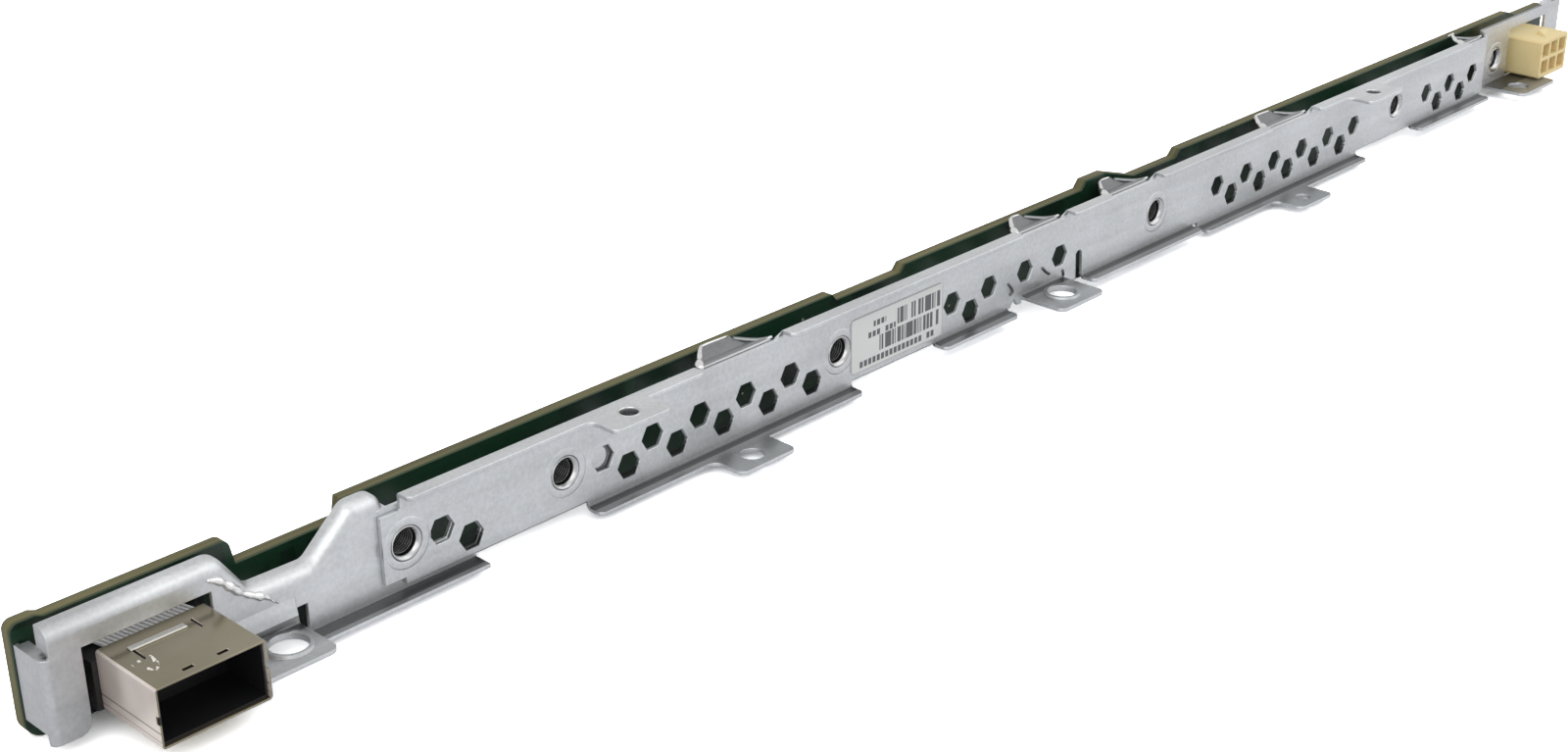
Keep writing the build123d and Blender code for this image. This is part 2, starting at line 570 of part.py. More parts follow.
# Small parts on the board's far side
CHIP_CHAMFER = 0.25
CONTROLLER_SPAN = (-12.5, -5.5)
CONTROLLER_T = 1.2
CONTROLLER_RISE = (-0.6, 6.2)
MEMORY_SPAN = (0.5, 5.5)
MEMORY_T = 1.5
MEMORY_RISE = (1.4, 5.4)
CAPACITOR_SHIFT = 11.0
CAPACITOR_L = 7.3
CAPACITOR_T = 2.8
CAPACITOR_RISE = (-1.2, 3.0)
LIGHT_SHIFTS = (-12.0, -8.4)
LIGHT_W = 1.7
LIGHT_T = 0.8
LIGHT_RISE = (1.5, 2.6)

with BuildPart() as controller_chip:
    block(*CONTROLLER_SPAN, BOARD_BACK, BOARD_BACK + CONTROLLER_T, *CONTROLLER_RISE)
    chamfer(controller_chip.faces().sort_by(Axis.Y)[-1].edges(), CHIP_CHAMFER)

with BuildPart() as memory_chip:
    block(*MEMORY_SPAN, BOARD_BACK, BOARD_BACK + MEMORY_T, *MEMORY_RISE)
    chamfer(memory_chip.faces().sort_by(Axis.Y)[-1].edges(), CHIP_CHAMFER)

with BuildPart() as capacitors:
    for bay in range(4):
        x = SOCKET_X + bay * SOCKET_PITCH + CAPACITOR_SHIFT
        block(x, x + CAPACITOR_L, BOARD_BACK, BOARD_BACK + CAPACITOR_T, *CAPACITOR_RISE)

with BuildPart() as status_lights:
    for bay in range(4):
        for shift in LIGHT_SHIFTS:
            x = SOCKET_X + bay * SOCKET_PITCH + shift
            block(x, x + LIGHT_W, BOARD_BACK, BOARD_BACK + LIGHT_T, *LIGHT_RISE)

# Label on the rail's face
with BuildPart() as label_plate:
    with BuildSketch(front(-LABEL_T)):
        with Locations((LABEL_X, -0.05)):
            Rectangle(LABEL_W, LABEL_H)
    extrude(amount=-LABEL_T)
    chamfer(label_plate.edges().filter_by(Axis.Y), 0.7)

board.part.label = "board"
export_step(board.part, "parts/board.step")
main_rail.part.label = "main_rail"
export_step(main_rail.part, "parts/main_rail.step")
end_bracket.part.label = "end_bracket"
export_step(end_bracket.part, "parts/end_bracket.step")
standoffs.part.label = "standoffs"
export_step(standoffs.part, "parts/standoffs.step")
board_screws.part.label = "board_screws"
export_step(board_screws.part, "parts/board_screws.step")
port_cage.part.label = "port_cage"
export_step(port_cage.part, "parts/port_cage.step")
port_insert.part.label = "port_insert"
export_step(port_insert.part, "parts/port_insert.step")
port_contacts.part.label = "port_contacts"
export_step(port_contacts.part, "parts/port_contacts.step")
port_spring.part.label = "port_spring"
export_step(port_spring.part, "parts/port_spring.step")
power_housing.part.label = "power_housing"
export_step(power_housing.part, "parts/power_housing.step")
power_pins.part.label = "power_pins"
export_step(power_pins.part, "parts/power_pins.step")
for part in socket_parts + contact_parts:
    export_step(part, f"parts/{part.label}.step")
controller_chip.part.label = "controller_chip"
export_step(controller_chip.part, "parts/controller_chip.step")
memory_chip.part.label = "memory_chip"
export_step(memory_chip.part, "parts/memory_chip.step")
capacitors.part.label = "capacitors"
export_step(capacitors.part, "parts/capacitors.step")
status_lights.part.label = "status_lights"
export_step(status_lights.part, "parts/status_lights.step")
label_plate.part.label = "label_plate"
export_step(label_plate.part, "parts/label_plate.step")
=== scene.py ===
# %% [markdown]
# A drive backplane board: a long circuit board screwed behind a folded steel rail.
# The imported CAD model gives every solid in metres. This lesson sets the photograph's
# camera, gives each solid its real finish and rounds over the cut edges of the sheet. Then
# it adds what the solids leave out, such as threads, countersunk mouths, a forming seam and
# the chip resistors of the drive side, and lights the part.

# %% Load the frame
import bpy, bmesh, math
from mathutils import Matrix, Vector
from mathutils.bvhtree import BVHTree


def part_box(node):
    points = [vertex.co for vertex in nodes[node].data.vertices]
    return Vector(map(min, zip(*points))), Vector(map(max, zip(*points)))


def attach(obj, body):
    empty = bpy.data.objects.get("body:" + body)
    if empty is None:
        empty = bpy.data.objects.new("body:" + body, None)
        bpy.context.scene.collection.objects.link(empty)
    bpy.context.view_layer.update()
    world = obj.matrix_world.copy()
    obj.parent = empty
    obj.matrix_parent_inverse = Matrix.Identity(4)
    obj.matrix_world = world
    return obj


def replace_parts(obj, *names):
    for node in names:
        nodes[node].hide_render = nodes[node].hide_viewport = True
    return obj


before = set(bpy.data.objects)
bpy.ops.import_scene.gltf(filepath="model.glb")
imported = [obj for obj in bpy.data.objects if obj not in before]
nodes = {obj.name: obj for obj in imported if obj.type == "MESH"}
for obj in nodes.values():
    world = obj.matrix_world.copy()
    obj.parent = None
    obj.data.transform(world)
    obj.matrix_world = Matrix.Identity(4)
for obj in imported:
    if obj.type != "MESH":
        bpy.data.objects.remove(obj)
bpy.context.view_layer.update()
MM = 0.001
print("nodes:", len(nodes))


def linked(name, data):
    """A new object in the scene for the given mesh, lamp or lens."""
    piece = bpy.data.objects.new(name, data)
    bpy.context.scene.collection.objects.link(piece)
    return piece


def baked(piece):
    """Keep what the piece's modifiers make as its plain mesh."""
    graph = bpy.context.evaluated_depsgraph_get()
    made = bpy.data.meshes.new_from_object(piece.evaluated_get(graph))
    piece.modifiers.clear()
    piece.data = made
    return made


# %% [markdown]
# The solids were drawn from a datum on the rail: x = 0 at the middle vent column, y = 0 on
# the rail's front face, z = 0 on the upper vent row. The board's box gives that datum
# back, so new pieces use the same plain millimetre numbers.

# %% Datum and places
BOARD_LEFT, BOARD_FRONT, BOARD_BACK, BOARD_LOW = -207.6, 8.0, 10.4, -9.6
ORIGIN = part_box("board")[0] - Vector((BOARD_LEFT, BOARD_FRONT, BOARD_LOW)) * MM


def at(x, y, z):
    """Point in metres for rail measures in millimetres."""
    return ORIGIN + Vector((x, y, z)) * MM


STANDS = [(-148.4, 0, 0.4), (-117.0, 0, 0.4), (-52.8, 0, 0.4), (42.8, 0, 0.4),
          (138.4, 0, 0.4), (191.5, 3.0, -0.9)]
STAND_R, BORE_R = 2.8, 2.1
RAIL_TOP, FLANGE_TOP, STEP_X, STEP_BACK = 9.0, -3.6, 180.0, 3.0
PORT_X, PORT_Z = -190.3, -1.0
LOBE_RIGHT, LOBE_LOW, LOBE_ROUND = -201.4, -7.6, 2.0
BLIND_X = -109.0
BOARD_TABS = [(-86.3, -67.8), (-2.3, 12.4), (26.4, 41.8), (83.4, 100.8), (169.5, 180.0)]
TOP_HOLES = [(-106.9, -4.3), (119.4, -4.3)]
SOCKET_X, SOCKET_PITCH = -156.0, 107.0
BAYS = (1, 2, 3, 4)
SOCKETS = [SOCKET_X + SOCKET_PITCH * (bay - 1) for bay in BAYS]
print("datum", [round(v / MM, 2) for v in ORIGIN])

# %% [markdown]
# The camera stands where the photographer stood. Its place and turn came from fitting
# the regular honeycomb of vents and the long straight edges, so nothing is guessed:
# right, down and forward are the rows of the fitted rotation.

# %% Camera
CAMERA_PLACE = (-323.11, -247.03, 162.79)
CAMERA_RIGHT = Vector((0.6911946, -0.7226099, -0.0092188))
CAMERA_DOWN = Vector((-0.305782, -0.2808822, -0.9097266))
CAMERA_FORWARD = Vector((0.654788, 0.6316171, -0.4151054))
FOCAL_PIXELS = 2311.67
IMAGE_WIDTH = 1600
SENSOR = 36.0

lens = bpy.data.cameras.new("photo_camera")
lens.sensor_width = SENSOR
lens.lens = FOCAL_PIXELS * SENSOR / IMAGE_WIDTH
lens.clip_start = 0.01
camera = linked("photo_camera", lens)
turn = Matrix((CAMERA_RIGHT, -CAMERA_DOWN, -CAMERA_FORWARD)).transposed()
camera.matrix_world = Matrix.Translation(at(*CAMERA_PLACE)) @ turn.to_4x4()
bpy.context.scene.camera = camera
bpy.context.scene.view_settings.view_transform = "Standard"
print("lens", round(lens.lens, 2))

# %% [markdown]
# Shader maths reads better as plain expressions. A small class wraps a socket, and its
# operators add the Math nodes, so a mask is written as it would be on paper. Every other
# node, in materials and in Geometry Nodes, is made by one function.


# %% Node helpers
class Wire:
    """A node socket that can be added, multiplied and compared."""

    def __init__(self, tree, socket):
        self.tree = tree
        self.socket = socket

    def _math(self, operation, *values):
        settings = {"operation": operation}
        return make_node(self.tree, "ShaderNodeMath", settings, dict(enumerate(values)))

    def __add__(self, other):
        return self._math("ADD", self, other)

    def __sub__(self, other):
        return self._math("SUBTRACT", self, other)

    def __rsub__(self, other):
        return self._math("SUBTRACT", other, self)

    def __mul__(self, other):
        return self._math("MULTIPLY", self, other)

    def __gt__(self, other):
        return self._math("GREATER_THAN", self, other)

    def __lt__(self, other):
        return self._math("LESS_THAN", self, other)

    def floor(self):
        return self._math("FLOOR", self)

    def wrap(self, size):
        return self._math("MODULO", self, size)

    def absolute(self):
        return self._math("ABSOLUTE", self)

    def clamp(self):
        return make_node(self.tree, "ShaderNodeMath", {"operation": "ADD", "use_clamp": True},
                         {0: self, 1: 0.0})


def make_node(tree, kind, settings=None, values=None, output=0):
    """Any node: its settings first, then the values or links of its sockets."""
    node = tree.nodes.new(kind)
    for key, value in (settings or {}).items():
        if key == "stops":
            band = node.color_ramp.elements
            while len(band) < len(value):
                band.new(0.5)
            for stop, (spot, shade) in zip(band, value):
                stop.position = spot
                stop.color = (*shade, 1.0)
        else:
            setattr(node, key, value)
    for key, value in (values or {}).items():
        slot = node.inputs[key]
        if isinstance(value, Wire):
            tree.links.new(value.socket, slot)
        else:
            slot.default_value = value
    return Wire(tree, node.outputs[output])


class Finish:
    """A material under construction: a tree, its shader and the object's coordinates."""

    def __init__(self, name, color, roughness, metallic=0.0):
        self.material = bpy.data.materials.new(name)
        self.material.use_nodes = True
        self.material.diffuse_color = (*color, 1.0)
        self.tree = self.material.node_tree
        self.shader = self.tree.nodes["Principled BSDF"]
        self.set("Base Color", (*color, 1.0))
        self.set("Roughness", roughness)
        self.set("Metallic", metallic)
        self.place = self.node("ShaderNodeTexCoord", output="Object")
        self.facing = self.node("ShaderNodeTexCoord", output="Normal")

    def node(self, kind, settings=None, values=None, output=0):
        return make_node(self.tree, kind, settings, values, output)

    def set(self, name, value):
        slot = self.shader.inputs[name]
        if isinstance(value, Wire):
            self.tree.links.new(value.socket, slot)
        else:
            slot.default_value = value

    def split(self, wire):
        """The three parts of a vector."""
        node = self.tree.nodes.new("ShaderNodeSeparateXYZ")
        self.tree.links.new(wire.socket, node.inputs[0])
        return [Wire(self.tree, out) for out in node.outputs]

    def rail_measures(self):
        """The place on the part in the rail's own millimetres."""
        return [(part - start) * (1 / MM) for part, start in zip(self.split(self.place), ORIGIN)]

    def noise(self, scale, detail=3.0, stretch=(1.0, 1.0, 1.0)):
        where = self.node("ShaderNodeMapping", None, {"Vector": self.place, "Scale": stretch})
        return self.node("ShaderNodeTexNoise", None,
                         {"Vector": where, "Scale": scale, "Detail": detail})

    def mix(self, mask, first, second):
        """Colour that is the first where the mask is 0 and the second where it is 1."""
        first = first if isinstance(first, Wire) else (*first, 1.0)
        second = second if isinstance(second, Wire) else (*second, 1.0)
        return self.node("ShaderNodeMix", {"data_type": "RGBA"},
                         {0: mask, 6: first, 7: second}, output=2)

    def bump(self, height, distance, strength=1.0):
        self.set("Normal", self.node("ShaderNodeBump", None, {
            "Height": height, "Distance": distance, "Strength": strength}))


def window(x, low, high):
    """Mask that is 1 where x lies between low and high."""
    return (x > low) * (x < high)


def ramp(x, start, length):
    """Mask that runs from 0 at the start to 1 one length further on."""
    return ((x - start) * (1 / length)).clamp()


def eased(x, gain):
    """Noise with its middle stretched by the gain."""
    return ((x - 0.5) * gain + 0.5).clamp()


# %% [markdown]
# The rail and its end bracket are folded from zinc plated sheet: pale blue grey, finely
# dull, with faint cloudy spangle and rolling marks that run along the sheet. Screws,
# contacts and pins are the same recipe in other tones. Shade is painted into the rail's
# colour on its low flanges, in the pockets of its board tabs, towards its left end and in
# the blind vent's corner, and the standoffs' bores are painted dark as shade.


# %% Plated metals
GRAIN_DEPTH = 0.00002
TIP_START, TIP_LENGTH, ROOT_FRONT = -3.4, -4.0, -1.6
DISH_FRONT, DISH_LOW, DISH_SHADE = 1.4, 5.0, 0.58
END_START, END_LENGTH, END_SHADE = -190.0, -10.0, 0.22
BLIND_FACE, BLIND_REACH, BLIND_HALF = (0.6, 1.0), 3.0, 2.3
BLIND_DISC, BLIND_SHADE = 1.85, 0.72
BORE_SHADE_TONE = (0.035, 0.035, 0.035)


def plated(name, color, roughness, metallic=0.9, contrast=0.14):
    """Plated metal: cloudy spangle, rolling streaks along the sheet and fine specks."""
    finish = Finish(name, color, roughness, metallic)
    cloud = finish.noise(70.0, detail=4.0) * 0.6 + finish.noise(11.0, detail=1.0) * 0.4
    streak = finish.noise(420.0, detail=2.0, stretch=(0.06, 1.0, 1.0))
    speck = finish.noise(1500.0, detail=2.0)
    dark = tuple(c * (1 - contrast) for c in color)
    light = tuple(min(1.0, c * (1 + contrast * 0.6)) for c in color)
    tone = cloud * 0.45 + streak * 0.25 + speck * 0.3
    finish.set("Base Color", finish.mix(eased(tone, 2.2), dark, light))
    finish.set("Roughness", (cloud * 0.16 + speck * 0.10 + (roughness - 0.13)).clamp())
    finish.bump(speck * 0.6 + streak * 0.4, GRAIN_DEPTH, 0.4)
    return finish


def painted_flange_shade(finish, root, flange, tip):
    """Painted shade on the low flanges: most in the root bend, least at the ears' tips."""
    x, y, z = finish.rail_measures()
    up = finish.split(finish.facing)[2]
    low = (z < FLANGE_TOP) * (y < BOARD_FRONT)
    level = low * (up > 0.5)
    bend = low * (up > 0.12) * (y > ROOT_FRONT)
    shade = ramp(y, TIP_START, TIP_LENGTH) * (tip - flange) + flange
    return ((1.0 - level) + level * shade) * (1.0 - bend * (1.0 - root))


def painted_pocket_shade(finish):
    """Painted shade in the dished tabs, towards the left end and in the blind vent's corner."""
    x, y, z = finish.rail_measures()
    up = finish.split(finish.facing)[2]
    dished = (up > 0.3) * window(y, DISH_FRONT, BOARD_FRONT)
    dished = dished * window(z, DISH_LOW, RAIL_TOP - 0.3) * (x > BOARD_TABS[0][0] - 1.0)
    left_end = ramp(x, END_START, END_LENGTH)
    blind = window(x, BLIND_X - BLIND_REACH, BLIND_X + BLIND_REACH)
    blind = blind * window(y, *BLIND_FACE) * window(z, -BLIND_HALF, BLIND_HALF)
    off_x, off_z = x - (BLIND_X - 0.55), z - 0.2
    crescent = blind * (off_x * off_x + off_z * off_z > BLIND_DISC ** 2)
    return ((1.0 - dished * DISH_SHADE) * (1.0 - left_end * END_SHADE)
            * (1.0 - crescent * BLIND_SHADE))


def darken(finish, shade):
    """Multiply the finish's colour by a grey shade."""
    tone = Wire(finish.tree, finish.shader.inputs["Base Color"].links[0].from_socket)
    grey = finish.node("ShaderNodeCombineColor", None, {0: shade, 1: shade, 2: shade})
    finish.set("Base Color", finish.node(
        "ShaderNodeMix", {"data_type": "RGBA", "blend_type": "MULTIPLY"},
        {0: 1.0, 6: tone, 7: grey}, output=2))


def painted_bore_shade(finish, clean_depth):
    """The standoffs are bright on their front ring and painted dark inside as shade in the bore.
    """
    x, y, z = finish.rail_measures()
    inner = (y > clean_depth) * ((x < STEP_X) + (y > clean_depth + STEP_BACK)).clamp()
    tone = Wire(finish.tree, finish.shader.inputs["Base Color"].links[0].from_socket)
    finish.set("Base Color", finish.mix(inner, tone, BORE_SHADE_TONE))


zinc = plated("zinc_steel", (0.66, 0.675, 0.685), 0.40, contrast=0.30)
# Painted shade: the low flanges, the tab pockets, the left end and the blind vent's corner are
# darkened.
darken(zinc, painted_flange_shade(zinc, root=0.40, flange=0.40, tip=0.68) * painted_pocket_shade(zinc))
steel = plated("bright_steel", (0.60, 0.60, 0.60), 0.24)
# Dark steel as painted shade: threads deep in the bores, the seam's crease and the relief cuts.
painted_shade_steel = plated("painted_shade_steel", (0.13, 0.13, 0.13), 0.22)
standoff_steel = plated("standoff_steel", (0.55, 0.55, 0.55), 0.26)
painted_bore_shade(standoff_steel, 0.75)
gold = plated("contact_metal", (0.75, 0.58, 0.28), 0.25)
tin = plated("tinned_contact", (0.80, 0.79, 0.75), 0.22)
tail_tin = plated("tail_tin", (0.97, 0.96, 0.92), 0.35, metallic=0.1)
# Pale zinc as painted highlight on the forming seam and the near tab curls.
highlight_zinc = plated("painted_highlight_zinc", (0.90, 0.87, 0.86), 0.20, contrast=0.3)

# %% [markdown]
# The port's cage is bare rolled alloy, smooth, with two soft scrape marks where plugs have
# rubbed its top. Its tone is painted by facing, as painted reflection: olive gold where it
# looks up, pink silver on its upright sides. Its two dark fold lines are painted shade.

# %% Cage alloy
TOP_DARK, TOP_LIGHT = (0.215, 0.19, 0.133), (0.32, 0.288, 0.21)
SIDE_DARK, SIDE_LIGHT = (0.62, 0.53, 0.47), (0.92, 0.84, 0.78)
FOLD_SHADE_TONE, SCRAPE_TONE = (0.10, 0.09, 0.08), (0.95, 0.92, 0.84)
cage = Finish("port_shell", (0.50, 0.45, 0.33), 0.25, 0.92)
x, y, z = cage.rail_measures()
upright = cage.split(cage.facing)[0].absolute() > 0.6
haze = cage.noise(60.0, detail=2.0)
# Painted reflection: one tone for the top and a lighter one for the upright sides.
top_tone = cage.mix(eased(haze, 2.0), TOP_DARK, TOP_LIGHT)
side_tone = cage.mix(eased(haze, 3.0), SIDE_DARK, SIDE_LIGHT)
scrape = window(x, PORT_X - 7.4, PORT_X - 4.2) * window(y, -8.6, -4.6) * (
    cage.noise(1700.0, detail=2.0, stretch=(1.0, 0.30, 1.0)) > 0.60)
# Painted shade along the two fold lines of the sides.
fold = (window(z, PORT_Z - 2.3, PORT_Z - 2.0) + window(z, PORT_Z - 3.6, PORT_Z - 3.45)).clamp()
side_tone = cage.mix(fold * 0.6, side_tone, FOLD_SHADE_TONE)
tone = cage.mix(upright, top_tone, side_tone)
cage.set("Base Color", cage.mix(scrape, tone, SCRAPE_TONE))
cage.set("Roughness", haze * 0.10 + 0.17)
cage.set("Metallic", 0.92 - upright * 0.45)
cage.bump(cage.noise(900.0, detail=2.0, stretch=(0.2, 1.0, 1.0)), GRAIN_DEPTH / 2, 0.3)

# %% [markdown]
# The board is green solder mask over glass laminate. Copper under the mask shows as
# slightly lighter tracks, with small plated vias between them. The cut edge is bare: tan,
# streaked along the board, and darker where the mask ends at either face.

# %% Circuit board
MASK_DARK, MASK_LIGHT = (0.0035, 0.018, 0.009), (0.006, 0.032, 0.014)
EDGE_DARK, EDGE_LIGHT = (0.060, 0.056, 0.018), (0.150, 0.135, 0.055)
EDGE_SKIN = (0.028, 0.045, 0.012)
VIA_TONE, PATCH_TONE = (0.42, 0.40, 0.30), (0.004, 0.004, 0.004)
VIA_LEFT, VIA_RIGHT, VIA_LOW, VIA_TOP = BOARD_LEFT + 4.0, 206.0, BOARD_LOW + 2.0, 5.0
PATCH_W, PATCH_TOP = 24.0, 6.0
laminate = Finish("laminate", (0.06, 0.16, 0.05), 0.35)
x, y, z = laminate.rail_measures()
flat = laminate.split(laminate.facing)[1].absolute() > 0.7
long_tracks = laminate.noise(260.0, detail=0.0, stretch=(0.12, 1.0, 1.0)) > 0.50
cross_tracks = laminate.noise(210.0, detail=0.0, stretch=(1.0, 1.0, 0.10)) > 0.62
track = (long_tracks + cross_tracks).clamp()
green = laminate.mix(track, MASK_DARK, MASK_LIGHT)
cells = laminate.node("ShaderNodeTexVoronoi", {"feature": "F1"},
                      {"Vector": laminate.place, "Scale": 260.0, "Randomness": 0.8})
inner = window(z, VIA_LOW, VIA_TOP) * window(x, VIA_LEFT, VIA_RIGHT)
via = (cells < 0.07) * (laminate.noise(40.0, detail=1.0) > 0.52) * inner
green = laminate.mix(via, green, VIA_TONE)
layer = laminate.noise(700.0, detail=3.0, stretch=(0.04, 1.6, 0.04))
edge = laminate.mix(eased(layer, 2.5), EDGE_DARK, EDGE_LIGHT)
skin = ((y < BOARD_FRONT + 0.45) + (y > BOARD_BACK - 0.30)).clamp()
edge = laminate.mix(skin, edge, EDGE_SKIN)
# The board's front face behind the port is coloured near black.
port_black_patch = window(x, PORT_X - PATCH_W / 2, PORT_X + PATCH_W / 2)
port_black_patch = port_black_patch * (y < BOARD_FRONT + 0.1) * (z < PATCH_TOP)
green = laminate.mix(port_black_patch, green, PATCH_TONE)
laminate.set("Base Color", laminate.mix(flat, edge, green))
laminate.set("Roughness", 0.66 - flat * 0.32)
laminate.bump(track * 0.5 + layer * 0.5, 2 * GRAIN_DEPTH, 0.5)

# %% [markdown]
# The black inserts are moulded with a fine grain, the header is natural nylon with a
# slight glow, and the chips, capacitors and lights are plain moulded parts.

# %% Plastics
def moulded(name, color, roughness, cloud, dark, light, grain=None, strength=0.3):
    """Plastic that drifts softly between two shades, with a fine grain where one is given."""
    finish = Finish(name, color, roughness)
    finish.set("Base Color", finish.mix(finish.noise(cloud), dark, light))
    if grain:
        finish.bump(finish.noise(grain), GRAIN_DEPTH, strength)
    return finish


black = moulded("black_plastic", (0.012, 0.012, 0.014), 0.45, 90.0,
                (0.004, 0.004, 0.0045), (0.010, 0.010, 0.011), grain=3000.0)
nylon = moulded("cream_nylon", (0.78, 0.66, 0.34), 0.40, 120.0,
                (0.74, 0.58, 0.26), (0.84, 0.70, 0.38), grain=1800.0)
nylon.set("Subsurface Weight", 0.2)
nylon.set("Subsurface Scale", 0.002)
nylon.set("Roughness", nylon.noise(400.0) * 0.2 + 0.32)
resin = moulded("chip_resin", (0.02, 0.02, 0.022), 0.55, 300.0,
                (0.014, 0.014, 0.016), (0.03, 0.03, 0.032), grain=2500.0, strength=0.4)
ochre = moulded("capacitor_case", (0.45, 0.24, 0.04), 0.45, 260.0,
                (0.40, 0.21, 0.03), (0.52, 0.29, 0.06))
lens_clear = moulded("light_lens", (0.75, 0.82, 0.72), 0.2, 500.0,
                     (0.7, 0.78, 0.66), (0.82, 0.88, 0.78))

# %% [markdown]
# The label is white film with plain printed bars and no letters: two blocks of upright
# bars with uneven widths, and rows of short dashes where lines of print would be.

# %% Label
LABEL_LEFT, LABEL_LOW, LABEL_W, LABEL_H = -49.9, -5.4, 25.2, 10.7
LABEL_RIM = 0.22
BAR_STEP, BAR_SHARE = 0.24, 0.60
DASH_STEP, DASH_SHARE, DASH_FILL = 1.15, 0.86, 0.72
INK, RIM_TONE = (0.03, 0.03, 0.04), (0.25, 0.25, 0.25)
label = Finish("label_film", (0.72, 0.72, 0.70), 0.42)
x, y, z = label.rail_measures()
u, v = x - LABEL_LEFT, z - LABEL_LOW


def drawn(step, share, seed):
    """1 in a fixed random share of the equal steps along the label."""
    draw = label.node("ShaderNodeTexWhiteNoise", {"noise_dimensions": "1D"},
                      {"W": (u * (1 / step)).floor() + seed})
    return draw < share


def upright_bars(left, right, low, high, seed):
    """Block of thin bars between two level lines."""
    return window(u, left, right) * window(v, low, high) * drawn(BAR_STEP, BAR_SHARE, seed)


def dash_row(left, right, low, high, seed):
    """Row of dashes with a few wider gaps."""
    gap = (u * (1 / DASH_STEP)).wrap(1.0) < DASH_FILL
    return window(u, left, right) * window(v, low, high) * gap * drawn(DASH_STEP, DASH_SHARE, seed)


ink = (upright_bars(12.4, 24.4, 6.3, 9.4, 11) + upright_bars(7.6, 24.4, 2.7, 5.7, 57)
       + dash_row(6.0, 9.4, 7.8, 8.9, 3) + dash_row(4.6, 12.0, 5.9, 7.0, 8)
       + dash_row(2.2, 23.0, 0.8, 2.0, 20)).clamp()
rim = ((u < LABEL_RIM) + (u > LABEL_W - LABEL_RIM)
       + (v < LABEL_RIM) + (v > LABEL_H - LABEL_RIM)).clamp()
film = label.mix(label.noise(200.0), (0.64, 0.64, 0.625), (0.70, 0.70, 0.685))
film = label.mix(rim * 0.5, film, RIM_TONE)
label.set("Base Color", label.mix(ink * 0.88, film, INK))
label.set("Roughness", 0.42 - ink * 0.1)

# %% [markdown]
# Cut and pressed sheet is never knife sharp. A merged copy of each visible solid gets a
# narrow bevel, so its edges catch light as they do in the photograph, and the copy stands
# for the solid. Small parts that are boxes in CAD get moulded edges the same way. Where a
# bevel strays from a crowded corner, its points are put back on the solid's surface, and
# the large flat faces keep straight normals up to their edges.


# %% Rounded copies
MERGE = 0.000002
PLANAR = math.radians(0.6)
BEVEL_ANGLE = math.radians(32)
BEVEL_SEGMENTS = 2
CORNER_SEGMENTS = 6
CORNER_REACH = 0.05
STRAY = 0.12
FLAT_FACE = 12


def round_corner(grid, x, z, radius):
    """Round the sheet corner that stands along y at the given place."""
    spot = at(x, 0.0, z)
    corner = [edge for edge in grid.edges if all(
        abs(v.co.x - spot.x) < CORNER_REACH * MM and abs(v.co.z - spot.z) < CORNER_REACH * MM
        for v in edge.verts)]
    bmesh.ops.bevel(grid, geom=corner, offset=radius * MM, segments=CORNER_SEGMENTS,
                    profile=0.5, affect="EDGES", clamp_overlap=False)


def merged(node, corner):
    """Merged copy of a CAD node's triangles, with whole flat faces."""
    grid = bmesh.new()
    grid.from_mesh(nodes[node].data)
    bmesh.ops.remove_doubles(grid, verts=grid.verts, dist=MERGE)
    bmesh.ops.dissolve_limit(grid, angle_limit=PLANAR, verts=grid.verts, edges=grid.edges)
    if corner:
        round_corner(grid, *corner)
    for face in grid.faces:
        face.smooth = True
    return grid


def rounded(piece, width):
    """Bevel the sharp edges and let the large faces lead the normals."""
    bevel = piece.modifiers.new("edges", "BEVEL")
    bevel.width = width * MM
    bevel.segments = BEVEL_SEGMENTS
    bevel.limit_method = "ANGLE"
    bevel.angle_limit = BEVEL_ANGLE
    bevel.use_clamp_overlap = False
    even = piece.modifiers.new("normals", "WEIGHTED_NORMAL")
    even.mode = "FACE_AREA"
    even.weight = 100
    return baked(piece)


def settle(mesh, shell):
    """Put stray bevel points back on the solid and keep the large flat faces flat."""
    normals = [corner.vector.copy() for corner in mesh.corner_normals]
    for face in mesh.polygons:
        if len(face.vertices) > FLAT_FACE:
            for corner in face.loop_indices:
                normals[corner] = face.normal.copy()
    for vertex in mesh.vertices:
        nearest, _, _, gap = shell.find_nearest(vertex.co)
        if gap > STRAY * MM:
            vertex.co = nearest
    mesh.normals_split_custom_set(normals)


def softened(node, name, width, finish, corner=None):
    """Stand a rounded-over copy of a CAD node in its place."""
    grid = merged(node, corner)
    shell = BVHTree.FromBMesh(grid)
    mesh = bpy.data.meshes.new(name)
    grid.to_mesh(mesh)
    grid.free()
    piece = linked(name, mesh)
    made = rounded(piece, width)
    settle(made, shell)
    made.materials.clear()
    made.materials.append(finish.material)
    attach(piece, "root")
    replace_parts(piece, node)
    print(name, len(made.polygons), "faces")


softened("main_rail", "rail_sheet", 0.14, zinc)
softened("end_bracket", "bracket_sheet", 0.14, zinc, (LOBE_RIGHT, LOBE_LOW, LOBE_ROUND))
softened("port_cage", "cage_shell", 0.08, cage)
softened("port_spring", "spring_bar", 0.07, tin)
softened("power_housing", "header_body", 0.22, nylon)
softened("board", "board_blank", 0.12, laminate)
softened("board_screws", "screw_set", 0.22, steel)
softened("capacitors", "capacitor_cases", 0.25, ochre)
softened("controller_chip", "controller_case", 0.08, resin)
softened("memory_chip", "memory_case", 0.08, resin)
for bay in BAYS:
    softened(f"drive_socket_{bay}", f"socket_body_{bay}", 0.18, black)

# %% [markdown]
# The other solids keep their CAD shape and take their finish.


# %% Dress the other nodes
def dress(name, finish):
    """Give a CAD node its only material."""
    slots = nodes[name].data.materials
    slots.clear()
    slots.append(finish.material)


